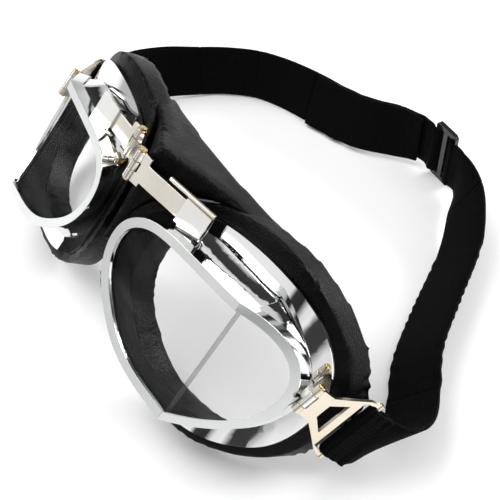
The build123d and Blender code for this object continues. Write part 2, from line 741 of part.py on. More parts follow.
print("box", whole.size, "home", home)
report("bridge_slide", way=tipped(heading))
report("right_pin", tipped(rightPinAt), tipped(upright))
report("left_pin", tipped(leftPinAt), tipped(upright))
report("right_hook", tipped(Vector(*hookPinAt)), tipped(hookAxis))
leftHookAt = Vector(-hookPinAt[0], hookPinAt[1], hookPinAt[2])
report("left_hook", tipped(leftHookAt), tipped(Vector(-hookAxis.X, hookAxis.Y, hookAxis.Z)))
report("slider", sliderAt, Vector(1, 0, 0))
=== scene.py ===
import bpy
import json
import math
from mathutils import Vector, Matrix

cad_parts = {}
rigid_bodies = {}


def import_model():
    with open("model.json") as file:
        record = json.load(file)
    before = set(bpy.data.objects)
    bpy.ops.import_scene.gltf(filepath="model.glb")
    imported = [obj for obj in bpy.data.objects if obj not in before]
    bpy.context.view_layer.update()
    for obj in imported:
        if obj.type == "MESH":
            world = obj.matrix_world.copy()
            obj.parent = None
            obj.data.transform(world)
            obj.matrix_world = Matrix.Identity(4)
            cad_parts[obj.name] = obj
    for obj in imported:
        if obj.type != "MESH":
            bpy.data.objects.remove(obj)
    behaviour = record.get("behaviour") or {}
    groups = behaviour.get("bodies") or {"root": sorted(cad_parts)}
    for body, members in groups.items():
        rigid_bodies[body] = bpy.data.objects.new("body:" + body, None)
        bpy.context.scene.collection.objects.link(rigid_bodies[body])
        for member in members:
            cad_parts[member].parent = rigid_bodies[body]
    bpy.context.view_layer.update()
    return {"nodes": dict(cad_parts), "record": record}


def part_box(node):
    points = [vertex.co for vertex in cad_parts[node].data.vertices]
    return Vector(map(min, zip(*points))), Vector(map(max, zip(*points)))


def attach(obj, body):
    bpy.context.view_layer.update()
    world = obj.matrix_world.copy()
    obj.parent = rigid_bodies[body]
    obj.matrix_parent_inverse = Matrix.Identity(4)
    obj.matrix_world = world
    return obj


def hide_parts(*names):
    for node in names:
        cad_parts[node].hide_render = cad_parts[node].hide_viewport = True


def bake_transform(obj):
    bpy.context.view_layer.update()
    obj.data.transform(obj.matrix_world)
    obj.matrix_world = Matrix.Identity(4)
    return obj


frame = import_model()
nodes = frame["nodes"]
scene = bpy.context.scene
print("stage: frame loaded")


# ---- small helpers for selecting and finishing ----
def deselectAll():
    if bpy.context.object and bpy.context.object.mode != "OBJECT":
        bpy.ops.object.mode_set(mode="OBJECT")
    bpy.ops.object.select_all(action="DESELECT")


def activate(obj):
    deselectAll()
    obj.select_set(True)
    bpy.context.view_layer.objects.active = obj


def editAll(obj):
    activate(obj)
    bpy.ops.object.mode_set(mode="EDIT")
    bpy.ops.mesh.select_all(action="SELECT")


def objectMode():
    bpy.ops.object.mode_set(mode="OBJECT")


def applyModifiers(obj):
    activate(obj)
    for modifier in list(obj.modifiers):
        bpy.ops.object.modifier_apply(modifier=modifier.name)


def addModifier(obj, kind, **values):
    modifier = obj.modifiers.new(kind.lower(), kind)
    for key, value in values.items():
        setattr(modifier, key, value)
    return modifier


def applyPlace(obj):
    activate(obj)
    bpy.ops.object.transform_apply(location=True, rotation=True, scale=True)


def selectFaces(obj, test):
    # leaves edit mode open with only the faces that pass the test
    editAll(obj)
    bpy.ops.mesh.select_all(action="DESELECT")
    objectMode()
    for face in obj.data.polygons:
        face.select = test(face.center)
    bpy.ops.object.mode_set(mode="EDIT")


def copyOf(*names, newName, merge=0.00002, flat=0.5):
    # one merged copy of some CAD nodes, with plain faces joined up
    deselectAll()
    for name in names:
        nodes[name].select_set(True)
    bpy.context.view_layer.objects.active = nodes[names[0]]
    bpy.ops.object.duplicate()
    copies = list(bpy.context.selected_objects)
    bpy.context.view_layer.objects.active = copies[0]
    bpy.ops.object.parent_clear(type="CLEAR_KEEP_TRANSFORM")
    if len(copies) > 1:
        bpy.ops.object.join()
    piece = bpy.context.view_layer.objects.active
    piece.name = newName
    piece.data.name = newName
    applyPlace(piece)
    editAll(piece)
    bpy.ops.mesh.remove_doubles(threshold=merge)
    if flat:
        bpy.ops.mesh.dissolve_limited(angle_limit=math.radians(flat))
    objectMode()
    return piece


def soften(piece, width, segments=2, angle=32, smooth=38):
    if width:
        addModifier(piece, "BEVEL", width=width, segments=segments, limit_method="ANGLE",
                    angle_limit=math.radians(angle), harden_normals=False, use_clamp_overlap=True)
    applyModifiers(piece)
    activate(piece)
    bpy.ops.object.shade_smooth_by_angle(angle=math.radians(smooth))
    addModifier(piece, "WEIGHTED_NORMAL", keep_sharp=True)
    applyModifiers(piece)


def finishPiece(piece, body, material, replaced=()):
    piece.data.materials.clear()
    piece.data.materials.append(material)
    if body:
        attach(piece, body)
    if replaced:
        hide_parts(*replaced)
    return piece


# ---- materials ----
class Wire:
    # a node output that can be added, multiplied and so on
    def __init__(self, tree, socket):
        self.tree = tree
        self.socket = socket

    def maths(self, operation, other=None, swap=False):
        node = self.tree.nodes.new("ShaderNodeMath")
        node.operation = operation
        values = [self, other] if not swap else [other, self]
        for index, value in enumerate(values):
            if isinstance(value, Wire):
                self.tree.links.new(value.socket, node.inputs[index])
            elif value is not None:
                node.inputs[index].default_value = value
        return Wire(self.tree, node.outputs[0])

    def __add__(self, other):
        return self.maths("ADD", other)

    __radd__ = __add__

    def __sub__(self, other):
        return self.maths("SUBTRACT", other)

    def __rsub__(self, other):
        return self.maths("SUBTRACT", other, swap=True)

    def __mul__(self, other):
        return self.maths("MULTIPLY", other)

    __rmul__ = __mul__


class Maker:
    # adds nodes to one tree, with their settings first and then their sockets
    def __init__(self, tree):
        self.tree = tree

    def join(self, value, socket):
        if isinstance(value, Wire):
            self.tree.links.new(value.socket, socket)
        else:
            socket.default_value = value

    def node(self, kind, output=0, settings=None, sockets=None, **inputs):
        made = self.tree.nodes.new("ShaderNode" + kind)
        for key, value in (settings or {}).items():
            if key == "stops":
                self.setStops(made.color_ramp, value)
            else:
                setattr(made, key, value)
        for index, value in (sockets or {}).items():
            self.join(value, made.inputs[index])
        for key, value in inputs.items():
            self.join(value, made.inputs[key.replace("_", " ")])
        return Wire(self.tree, made.outputs[output])

    def setStops(self, ramp, stops):
        # stops run from place 0 to place 1, with the two end stops first
        for element, (place, level) in zip(ramp.elements, stops[:2]):
            element.position = place
            element.color = (*level, 1)
        for place, level in stops[2:]:
            ramp.elements.new(place).color = (*level, 1)

    def mixColor(self, factor, first, second):
        colors = [value if isinstance(value, Wire) else (*value, 1) for value in (first, second)]
        return self.node("Mix", 2, {"data_type": "RGBA"}, {0: factor, 6: colors[0], 7: colors[1]})


class Finish(Maker):
    # one material: a principled shader and the nodes that feed it
    def __init__(self, name, **values):
        self.material = bpy.data.materials.new(name)
        self.material.use_nodes = True
        super().__init__(self.material.node_tree)
        self.shader = self.tree.nodes["Principled BSDF"]
        self.coords = self.tree.nodes.new("ShaderNodeTexCoord")
        self.feed(**values)

    def place(self, scale=(1, 1, 1)):
        spot = Wire(self.tree, self.coords.outputs["Object"])
        return self.node("Mapping", Vector=spot, Scale=scale)

    def noise(self, where, scale, detail=3.0, rough=0.55, distort=0.0):
        return self.node("TexNoise", Vector=where, Scale=scale, Detail=detail,
                         Roughness=rough, Distortion=distort)

    def ramp(self, value, low, high, toLow=0.0, toHigh=1.0):
        return self.node("MapRange", settings={"clamp": True}, Value=value,
                         From_Min=low, From_Max=high, To_Min=toLow, To_Max=toHigh)

    def feed(self, **inputs):
        for key, value in inputs.items():
            self.join(value, self.shader.inputs[key.replace("_", " ")])

    def bump(self, height, distance, strength=1.0):
        self.feed(Normal=self.node("Bump", Strength=strength, Distance=distance, Height=height))


metalLook = {
    "smudgeSize": 26.0,       # per metre, slow tint changes
    "markSize": 78.0,         # per metre, soft hand marks
    "grainSize": 900.0,       # per metre, fine brushed grain
    "grainDepth": 0.000012,   # metres
    "waviness": 0.00010,      # metres of slow ripple left by pressing
}


def metalFinish(name, color, shade, rough, smudge, grain=0.0):
    # plated metal: slow tint changes, hand marks in the gloss, a faint pressed ripple
    finish = Finish(name, Metallic=1.0)
    where = finish.place()
    marks = finish.noise(where, metalLook["markSize"], 5.0, 0.6, 0.4)
    slow = finish.noise(where, metalLook["smudgeSize"], 2.0)
    finish.feed(Base_Color=finish.mixColor(finish.ramp(slow, 0.35, 0.68), color, shade))
    gloss = finish.ramp(marks, 0.42, 0.72, rough, rough + smudge)
    if grain:
        brushed = finish.noise(finish.place(scale=(1, 0.05, 1)), metalLook["grainSize"], 2.0)
        gloss = gloss + finish.ramp(brushed, 0.3, 0.7, 0.0, grain)
        finish.bump(brushed + slow * 2.0, metalLook["grainDepth"])
    else:
        finish.bump(slow, metalLook["waviness"], 0.25)
    finish.feed(Roughness=gloss)
    return finish.material


# colour, its worn shade, least roughness, how much hand marks add
cupChrome = metalFinish("mirrorChrome", (0.86, 0.86, 0.855), (0.78, 0.785, 0.78), 0.025, 0.05)
rimChrome = metalFinish("rimChrome", (0.70, 0.715, 0.705), (0.60, 0.615, 0.605), 0.05, 0.08)
warmNickel = metalFinish(
    "warmNickel", (0.82, 0.79, 0.72), (0.70, 0.66, 0.58), 0.14, 0.10, grain=0.05)
paleNickel = metalFinish(
    "paleNickel", (0.86, 0.86, 0.83), (0.76, 0.75, 0.71), 0.08, 0.08, grain=0.03)
hookNickel = metalFinish(
    "hookNickel", (0.80, 0.73, 0.61), (0.66, 0.58, 0.46), 0.14, 0.12, grain=0.04)
pinBrass = metalFinish(
    "pinBrass", (0.80, 0.62, 0.27), (0.55, 0.38, 0.15), 0.18, 0.2, grain=0.05)

leatherLook = {
    "grain": 620.0,           # per metre, pebbles of the hide
    "poreScale": 2.2,         # pores for each pebble
    "creases": 95.0,          # per metre
    "black": (0.0006, 0.0006, 0.0007),
    "worn": (0.0028, 0.0028, 0.0027),
    "depth": 0.00016,         # metres
    "sheen": 0.09,
    "rough": (0.30, 0.52),
}


def leatherFinish(name):
    finish = Finish(name, Specular_IOR_Level=leatherLook["sheen"])
    where = finish.place()
    grain = leatherLook["grain"]
    cells = finish.node(
        "TexVoronoi", settings={"feature": "DISTANCE_TO_EDGE"}, Vector=where, Scale=grain)
    pebbles = finish.ramp(cells, 0.0, 0.16)
    creases = finish.noise(where, leatherLook["creases"], 6.0, 0.62, 0.8)
    pores = finish.noise(where, grain * leatherLook["poreScale"], 2.0)
    finish.bump(pebbles * 0.55 + creases * 0.9 + pores * 0.2, leatherLook["depth"], 0.75)
    wear = finish.ramp(creases, 0.42, 0.72)
    finish.feed(Base_Color=finish.mixColor(wear, leatherLook["black"], leatherLook["worn"]))
    finish.feed(Roughness=finish.ramp(creases + pebbles * -0.12, 0.25, 0.75, *leatherLook["rough"]))
    return finish.material


blackLeather = leatherFinish("blackLeather")


def clothFinish(name, color, fleck, size, rough=0.95):
    # brushed cloth: short fibres with a little fleck
    finish = Finish(name, Specular_IOR_Level=0.05)
    where = finish.place()
    fibres = finish.noise(where, size, 4.0, 0.7, 1.2)
    slow = finish.noise(where, size * 0.06, 2.0)
    flecks = finish.ramp(fibres * 0.7 + slow * 0.3, 0.35, 0.7)
    finish.feed(Base_Color=finish.mixColor(flecks, color, fleck))
    finish.feed(Roughness=finish.ramp(fibres, 0.3, 0.7, rough - 0.12, rough))
    finish.bump(fibres, 0.00025, 0.6)
    return finish.material


liningCloth = clothFinish(
    "liningCloth", (0.0015, 0.0015, 0.0017), (0.006, 0.006, 0.0065), 1500.0)

webLook = {
    "ribs": 640.0,            # cross ribs for each metre of strap, along its own map
    "cords": 15.0,            # lengthwise cords over the strap's width
    "black": (0.0005, 0.0005, 0.0006),
    "lit": (0.0035, 0.0035, 0.0038),
    "sheen": 0.06,
}


def webFinish(name):
    # flat woven elastic: cross ribs, lengthwise cords and plain edges, on the strap's own map in metres
    finish = Finish(name, Specular_IOR_Level=webLook["sheen"])
    spot = Wire(finish.tree, finish.coords.outputs["UV"])
    along = finish.node("SeparateXYZ", 0, Vector=spot)
    across = finish.node("SeparateXYZ", 1, Vector=spot)
    cords = (across * (webLook["cords"] * 2 * math.pi)).maths("SINE")
    ribs = (along * (webLook["ribs"] * 2 * math.pi) + cords * 0.9).maths("SINE")
    weave = (ribs * 0.5 + 0.5) * (0.55 + cords * 0.35)
    fuzz = finish.noise(finish.place(), 1800.0, 3.0, 0.7)
    height = weave + fuzz * 0.35
    finish.bump(height, 0.00022, 0.8)
    raised = finish.ramp(height, 0.25, 1.1)
    finish.feed(Base_Color=finish.mixColor(raised, webLook["black"], webLook["lit"]))
    finish.feed(Roughness=finish.ramp(fuzz, 0.3, 0.7, 0.70, 0.90))
    return finish.material


strapWeb = webFinish("strapWeb")


def plasticFinish(name, color, rough, spread, **values):
    # moulded plastic, rubber or cement with a fine mottle
    finish = Finish(name, **values)
    where = finish.place()
    mottle = finish.noise(where, 300.0, 4.0, 0.6)
    lighter = tuple(c * 1.6 + 0.0004 for c in color)
    finish.feed(Base_Color=finish.mixColor(finish.ramp(mottle, 0.3, 0.7), color, lighter))
    finish.feed(Roughness=finish.ramp(mottle, 0.35, 0.7, rough, rough + spread))
    finish.bump(mottle, 0.00004, 0.4)
    return finish.material


sliderGloss = plasticFinish("sliderGloss", (0.008, 0.008, 0.009), 0.12, 0.12)
blackRubber = plasticFinish(
    "blackRubber", (0.0015, 0.0015, 0.0015), 0.6, 0.2, Specular_IOR_Level=0.07)
seamCement = plasticFinish("seamCement", (0.07, 0.07, 0.068), 0.45, 0.2, Alpha=0.28)


glassLook = {
    "glareWipeSize": 22.0,         # per metre
    "dustSize": 1400.0,
    "dust": 0.02,             # opacity of a speck
    "glareVeil": (0.001, 0.020),   # opacity of the clean pane and of a wipe mark with its painted glare haze
    "gloss": (0.02, 0.10),
    "clean": (0.80, 0.82, 0.83),
    # pale colour of the painted glare haze over the wipe marks
    "wipedGlare": (0.93, 0.94, 0.94),
}


def glassFinish(name):
    # clear moulded pane: mostly see-through, with a coat, a few wipe marks in the gloss, and a painted reflection: a
    # pale glare haze over the wipe marks
    finish = Finish(name, IOR=1.5, Coat_Weight=1.0, Coat_Roughness=0.02)
    wipeAndGlare = finish.noise(finish.place(scale=(1, 3.5, 1)), glassLook["glareWipeSize"], 5.0, 0.6, 0.6)
    dust = finish.noise(finish.place(), glassLook["dustSize"], 2.0)
    specks = finish.ramp(dust, 0.74, 0.80, 0.0, glassLook["dust"])
    tint = finish.ramp(wipeAndGlare, 0.3, 0.7)
    finish.feed(Base_Color=finish.mixColor(tint, glassLook["clean"], glassLook["wipedGlare"]))
    finish.feed(Roughness=finish.ramp(wipeAndGlare, 0.45, 0.75, *glassLook["gloss"]))
    # painted reflection: the wipe pattern also lays a faint white glare haze into the opacity; the specks are real
    # dust
    finish.feed(Alpha=finish.ramp(wipeAndGlare, 0.42, 0.72, *glassLook["glareVeil"]) + specks)
    return finish.material


lensGlass = glassFinish("lensGlass")
print("stage: materials made")

# the worn pair's own directions, in the frame as it lies tipped back on its lower edge
tipBack = math.radians(38.6)
wornSide = Vector((1, 0, 0))
wornBack = Vector((0, math.cos(tipBack), -math.sin(tipBack)))
wornUp = Vector((0, math.sin(tipBack), math.cos(tipBack)))
joints = {joint["name"]: joint for joint in frame["record"]["behaviour"]["joints"]}
sides = (("right", "right_eyepiece"), ("left", "left_eyepiece"))


def middle(node):
    low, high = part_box(node)
    return (Vector(low) + Vector(high)) / 2


# ---- plated and brass parts: merged copies with rounded edges ----
# edge radii in metres
roundLook = {
    "cup": 0.00030,
    "rim": 0.00065,
    "pane": 0.00010,
    "plate": 0.00022,
    "hook": 0.00040,
    "pin": 0.00020,
    "slider": 0.00040,
}
cupLook = {
    "lip": 0.012,             # metres in front of the rim's middle that stay plated
    "inward": -0.12,          # how far a face turns to the middle before it counts as inside
    "rearward": 0.5,          # how far a face turns to the wearer
}

for side, body in sides:
    cup = copyOf(f"cup_{side}", newName=f"cup.{side}")
    soften(cup, roundLook["cup"], smooth=50)
    finishPiece(cup, body, cupChrome, (f"cup_{side}",))
    # the inside of the cup and its back are lined in black
    cup.data.materials.append(blackRubber)
    hub = middle(f"lens_rim_{side}")
    for face in cup.data.polygons:
        offset = face.center - hub
        radial = wornSide * offset.dot(wornSide) + wornUp * offset.dot(wornUp)
        inward = face.normal.dot(radial.normalized()) < cupLook["inward"]
        rearward = face.normal.dot(wornBack) > cupLook["rearward"]
        if rearward or (inward and offset.dot(wornBack) > -cupLook["lip"]):
            face.material_index = 1
    rim = copyOf(f"lens_rim_{side}", newName=f"rim.{side}")
    soften(rim, roundLook["rim"], segments=3, smooth=50)
    finishPiece(rim, body, rimChrome, (f"lens_rim_{side}",))
    for part in ("outer", "inner"):
        paneNode = f"lens_{part}_pane_{side}"
        pane = copyOf(paneNode, newName=f"pane.{part}.{side}")
        soften(pane, roundLook["pane"], segments=1)
        pane.visible_shadow = False
        finishPiece(pane, body, lensGlass, (paneNode,))
    for node, material, slotName in (
        (f"lens_gasket_{side}", blackRubber, "black_rubber"),
        (f"lens_seam_strip_{side}", seamCement, "lens_seam"),
    ):
        nodes[node].data.materials.clear()
        nodes[node].data.materials.append(material)
    lug = copyOf(f"hook_lug_{side}", newName=f"hookLug.{side}")
    soften(lug, roundLook["plate"])
    finishPiece(lug, body, paleNickel, (f"hook_lug_{side}",))
    pin = copyOf(f"hook_pin_{side}", newName=f"hookPin.{side}")
    soften(pin, roundLook["pin"])
    finishPiece(pin, body, pinBrass, (f"hook_pin_{side}",))
    hook = copyOf(f"strap_hook_{side}", newName=f"hook.{side}")
    soften(hook, roundLook["hook"], segments=3, smooth=45)
    finishPiece(hook, f"{side}_hook", hookNickel, (f"strap_hook_{side}",))

for node, body, material, slotName in (
    ("bridge_sleeve_right", "right_eyepiece", paleNickel, "pale_nickel"),
    ("bridge_sleeve_left", "left_eyepiece", paleNickel, "pale_nickel"),
    ("bridge_guide_rail", "right_eyepiece", warmNickel, "warm_nickel"),
    ("bridge_bar", "bridge_bar", warmNickel, "warm_nickel"),
    ("bridge_link", "bridge_link", warmNickel, "warm_nickel"),
    ("bridge_tongue", "left_eyepiece", warmNickel, "warm_nickel"),
    ("bridge_pin_right", "bridge_bar", pinBrass, "brass_pin"),
    ("bridge_pin_left", "left_eyepiece", pinBrass, "brass_pin"),
):
    piece = copyOf(node, newName=node.replace("_", "."))
    soften(piece, roundLook["pin"] if "pin" in node else roundLook["plate"], smooth=42)
    finishPiece(piece, body, material, (node,))

slider = copyOf("strap_slider", newName="slider")
soften(slider, roundLook["slider"], segments=3)
finishPiece(slider, "strap_slider", sliderGloss, ("strap_slider",))
print("stage: plated parts made")


# ---- cushions: leather ring swelled by cloth pressure, puckered along its outer seam ----
cushionLook = {
    "voxel": 0.0015,
    "pressure": 4.0,
    "frames": 20,
    "cap": 0.0016,            # how far a point may swell
    "puckers": 62,            # gathers round the outer seam
    "puckerDepth": 0.00055,
    "puckerReach": 0.0042,    # how far from the seam a gather runs
    "browRise": 0.0028,       # fuller over the brow
    "browReach": 0.034,
    "browEdge": 0.009,        # the fuller brow fades over this width from the outer edge
    "browTop": 0.036,         # height of the brow above the ring's middle
    "seamInset": 0.0026,      # seam's distance in front of the seat
    "seamWidth": 0.0011,
    "seamDepth": 0.0005,
    "bins": 96,               # steps round the ring in the table of its outer edge
}


def pressureSwell(piece, pressure, frames, cap):
    # cloth with inner pressure and no gravity, capped and applied
    activate(piece)
    before = [v.co.copy() for v in piece.data.vertices]
    cloth = addModifier(piece, "CLOTH")
    cloth.settings.use_pressure = True
    cloth.settings.uniform_pressure_force = pressure
    cloth.settings.quality = 4
    cloth.settings.effector_weights.gravity = 0.0
    cloth.settings.tension_stiffness = 18
    cloth.settings.compression_stiffness = 18
    cloth.point_cache.frame_start = 1
    cloth.point_cache.frame_end = frames
    for number in range(1, frames + 1):
        scene.frame_set(number)
    activate(piece)
    bpy.ops.object.modifier_apply(modifier=cloth.name)
    scene.frame_set(1)
    for vertex, start in zip(piece.data.vertices, before):
        move = vertex.co - start
        if move.length > cap:
            vertex.co = start + move.normalized() * cap


def paddedCopy(names, newName, voxel, shrink, rounds=3):
    piece = copyOf(*names, newName=newName, flat=0)
    piece.data.remesh_voxel_size = voxel
    piece.data.remesh_voxel_adaptivity = 0
    activate(piece)
    bpy.ops.object.voxel_remesh()
    addModifier(piece, "SMOOTH", factor=0.5, iterations=rounds)
    if shrink:
        addModifier(piece, "DISPLACE", strength=-shrink, mid_level=0.0)
    applyModifiers(piece)
    return piece


for side, body in sides:
    names = [f"cushion_{part}_{side}" for part in ("leather", "foam", "lining")]
    hub = (middle(names[0]) + middle(names[2])) / 2
    ring = paddedCopy(names, f"cushion.{side}", cushionLook["voxel"], 0.0007)
    pressureSwell(ring, cushionLook["pressure"], cushionLook["frames"], cushionLook["cap"])
    addModifier(ring, "SUBSURF", levels=1, render_levels=1)
    applyModifiers(ring)
    seatPlane = max((v.co - hub).dot(wornBack) for v in ring.data.vertices)
    bins = cushionLook["bins"]
    widest = [0.0] * bins
    for vertex in ring.data.vertices:
        offset = vertex.co - hub
        across, up = offset.dot(wornSide), offset.dot(wornUp)
        bin_ = int((math.atan2(up, across) + math.pi) / (2 * math.pi) * bins) % bins
        widest[bin_] = max(widest[bin_], math.hypot(across, up))

    def rimAt(angle):
        # smooth outer edge of the ring at one angle
        place = (angle + math.pi) / (2 * math.pi) * bins - 0.5
        low = math.floor(place)
        share = place - low
        around = [sum(widest[(low + k + j) % bins] for j in (-1, 0, 1)) / 3 for k in (0, 1)]
        return around[0] * (1 - share) + around[1] * share

    for vertex in ring.data.vertices:
        offset = vertex.co - hub
        across, up, deep = offset.dot(wornSide), offset.dot(wornUp), offset.dot(wornBack)
        angle = math.atan2(up, across)
        edge = max(0.0, rimAt(angle) - math.hypot(across, up))
        fromSeam = math.hypot(edge * 0.8, seatPlane - 0.0035 - deep)
        gather = max(0.0, 1 - fromSeam / cushionLook["puckerReach"])
        wave = 0.5 + 0.5 * math.cos(angle * cushionLook["puckers"])
        outward = wornSide * math.cos(angle) + wornUp * math.sin(angle)
        brow = max(0.0, 1 - (across / cushionLook["browReach"]) ** 2)
        brow *= max(0.0, up / cushionLook["browTop"]) ** 2
        brow *= max(0.0, 1 - edge / cushionLook["browEdge"])
        vertex.co += wornUp * (cushionLook["browRise"] * brow)
        vertex.co -= outward * (wave * gather * cushionLook["puckerDepth"] * 1.6)
        # the seam itself sits in a shallow groove
        fromGroove = abs(seatPlane - cushionLook["seamInset"] - deep)
        groove = max(0.0, 1 - fromGroove / cushionLook["seamWidth"]) * (edge < 0.006)
        vertex.co -= outward * groove * cushionLook["seamDepth"]
    activate(ring)
    bpy.ops.object.shade_smooth()
    ring.data.materials.clear()
    ring.data.materials.append(blackLeather)
    ring.data.materials.append(liningCloth)
    for face in ring.data.polygons:
        deep = (face.center - hub).dot(wornBack)
        if deep > seatPlane - 0.0024 and face.normal.dot(wornBack) > 0.2:
            face.material_index = 1
    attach(ring, body)
    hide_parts(*names)
    print("stage: cushion", side, len(ring.data.vertices))

# soft leather across the nose, cut in three lengths along the bridge
noseLook = {"voxel": 0.0014, "cuts": (0.0005, -0.0150)}
nose = paddedCopy(["cushion_nose_piece"], "nosePiece", noseLook["voxel"], -0.0002, rounds=14)
pressureSwell(nose, 2.0, 12, 0.0010)
addModifier(nose, "SUBSURF", levels=1, render_levels=1)
applyModifiers(nose)
noseLow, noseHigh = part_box("cushion_nose_piece")
for cut in noseLook["cuts"]:
    editAll(nose)
    bpy.ops.mesh.bisect(plane_co=(cut, 0, 0), plane_no=(1, 0, 0))
    objectMode()
noseEdges = [noseHigh[0] + 0.02, *noseLook["cuts"], noseLow[0] - 0.02]
bpy.ops.object.select_all(action="DESELECT")
for index in range(3):
    high, low = noseEdges[index], noseEdges[index + 1]
    activate(nose)
    bpy.ops.object.duplicate()
    length = bpy.context.view_layer.objects.active
    length.name = f"nosePiece.{index}"
    selectFaces(length, lambda spot: not low < spot.x < high)
    bpy.ops.mesh.delete(type="FACE")
    objectMode()
    bpy.ops.object.shade_smooth()
    length.data.materials.clear()
    length.data.materials.append(blackLeather)
    startX = min(high, noseHigh[0] - 0.004)
    endX = max(low, noseLow[0] + 0.004)
    height = middle("cushion_nose_piece")
    start, end = (startX, height.y, height.z), (endX, height.y, height.z)
    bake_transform(length)
    if index == 0:
        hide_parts("cushion_nose_piece")
activate(nose)
bpy.ops.object.delete()
print("stage: nose piece made")


# ---- strap: flat woven elastic standing on its lower edge ----
strapLook = {
    "width": 0.025,
    "thickness": 0.0016,
    "columns": 6,             # faces over the width
    "spacing": 0.0022,        # face length along the strap
    "curl": 0.00035,          # slight curl of the selvedges
    "edgeRound": 0.0004,
    "floorGap": 0.0003,       # between the lower edge and the ground
    "samples": 400,           # steps used to measure a length of route
    "tailShift": 0.0019,      # between the strap and its free tail
    "tailEnd": 5.6,           # station where the free tail ends
}
# plan of the centre line: millimetres from the slider's middle, lean from upright in degrees,
# and how far the strap has turned to the hook's own direction, from 0 to 1
rightPlan = [
    (105.1, -106.7, 50, 0.55), (101.0, -95.5, 48, 0.25), (91.0, -84.5, 46, 0), (76.5, -71.5, 45, 0),
    (61.5, -51.0, 45, 0), (47.0, -29.5, 43, 0), (36.5, -17.0, 36, 0), (25.0, -8.0, 26, 0),
    (13.0, -1.9, 0, 0),
]
leftPlan = [
    (-13.0, -2.0, 0, 0), (-24.0, -7.7, 14, 0), (-35.0, -15.3, 19, 0), (-45.5, -20.1, 22, 0),
    (-56.5, -24.0, 22, 0), (-68.5, -28.1, 20, 0), (-80.5, -33.5, 16, 0), (-91.0, -40.7, 13, 0),
    (-99.9, -50.5, 12, 0), (-108.0, -62.5, 14, 0), (-114.5, -76.5, 20, 0.12), (-117.7, -90.0, 30, 0.30),
    (-117.1, -103.0, 42, 0.60),
]
sliderAt = middle("strap_slider")
sliderHalf = (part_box("strap_slider")[1][0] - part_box("strap_slider")[0][0]) / 2
hookReach = 0.031             # hook pin to the free end of the sewn loop
hookBar = 0.022               # hook pin to the bar that the strap goes round


def hookFrame(side):
    joint = joints[f"{side}_hook_hinge"]
    axis = Vector(joint["axis"]).normalized()
    pin = Vector(joint["pos_m"])
    way = middle(f"strap_hook_loop_{side}") - pin
    way -= axis * way.dot(axis)
    return pin, axis, way.normalized()


def stations(plan, side):
    pin, axis, way = hookFrame(side)
    end = pin + way * hookReach
    made = []
    for x, y, lean, share in plan:
        spot = Vector((sliderAt.x + x / 1000, sliderAt.y + y / 1000, 0))
        made.append([spot, lean, share])
    result = []
    for index, (spot, lean, share) in enumerate(made):
        before = made[max(index - 1, 0)][0]
        after = made[min(index + 1, len(made) - 1)][0]
        run = (after - before).normalized()
        outward = Vector((run.y, -run.x, 0))
        if outward.dot(spot - Vector((0, -0.045, 0))) < 0:
            outward = -outward
        angle = math.radians(lean)
        width = outward * math.sin(angle) + Vector((0, 0, math.cos(angle)))
        width = (width * (1 - share) + axis * share).normalized()
        away = (spot - Vector((sliderAt.x, sliderAt.y, 0))).length
        # the strap rises to the slider's middle over its last stretch
        nearSlider = max(0.0, 1 - max(0.0, away - 0.012) / 0.04)
        lift = (sliderAt.z - strapLook["width"] / 2 - strapLook["floorGap"]) * nearSlider
        height = strapLook["floorGap"] + strapLook["width"] / 2 * width.z + lift
        if share:
            height += share * (end.z - height)
        result.append((Vector((spot.x, spot.y, height)), width))
    return result, (end, axis), way


def smoothRoute(points):
    # Catmull-Rom through the stations; value t runs from 0 to the last station
    def at(t):
        index = min(int(t), len(points) - 2)
        f = t - index
        four = [points[min(max(index + k, 0), len(points) - 1)] for k in (-1, 0, 1, 2)]
        result = []
        for item in (0, 1):
            a, b, c, d = (p[item] for p in four)
            result.append(
                0.5 * (
                    2 * b + (c - a) * f
                    + (2 * a - 5 * b + 4 * c - d) * f * f
                    + (3 * b - a - 3 * c + d) * f ** 3
                )
            )
        return result[0], result[1].normalized()
    return at


def ribbon(name, route, t0, t1, shift=0.0, startAt=0.0, step=None):
    # a flat grid bent along the route, with its map in metres along and 0 to 1 across
    samples = strapLook["samples"]
    lengths = [0.0]
    last = route(t0)[0]
    for k in range(1, samples + 1):
        spot = route(t0 + (t1 - t0) * k / samples)[0]
        lengths.append(lengths[-1] + (spot - last).length)
        last = spot
    rows = max(3, round(lengths[-1] / (step or strapLook["spacing"])))
    columns = strapLook["columns"]
    deselectAll()
    bpy.ops.mesh.primitive_grid_add(
        x_subdivisions=rows, y_subdivisions=columns, size=1, location=(0, 0, 0))
    piece = bpy.context.object
    piece.name = name
    piece.data.name = name
    where = 0
    spots = {}
    for row in range(rows + 1):
        goal = lengths[-1] * row / rows
        while where < samples - 1 and lengths[where + 1] < goal:
            where += 1
        span = max(lengths[where + 1] - lengths[where], 1e-9)
        t = t0 + (t1 - t0) * (where + (goal - lengths[where]) / span) / samples
        spots[row] = (t, goal)
    for vertex in piece.data.vertices:
        row = round((vertex.co.x + 0.5) * rows)
        side = vertex.co.y
        t, goal = spots[row]
        centre, width = route(t)
        ahead = route(min(t + 0.02, t1))[0] - route(max(t - 0.02, t0))[0]
        normal = ahead.cross(width).normalized()
        curl = strapLook["curl"] * (abs(side * 2) ** 4) * math.sin(40 * t + 1.3)
        vertex.co = centre + width * (side * strapLook["width"]) + normal * (shift + curl)
    layer = piece.data.uv_layers.active
    for loop in piece.data.loops:
        old = layer.data[loop.index].uv
        row = round(old[0] * rows)
        layer.data[loop.index].uv = (startAt + spots[row][1], old[1])
    addModifier(piece, "SOLIDIFY", thickness=strapLook["thickness"], offset=0.0,
                use_even_offset=False)
    addModifier(piece, "BEVEL", width=strapLook["edgeRound"], segments=2, limit_method="ANGLE",
                angle_limit=math.radians(60))
    applyModifiers(piece)
    activate(piece)
    bpy.ops.object.shade_smooth_by_angle(angle=math.radians(50))
    piece.data.materials.clear()
    piece.data.materials.append(strapWeb)
    return piece, startAt + lengths[-1]


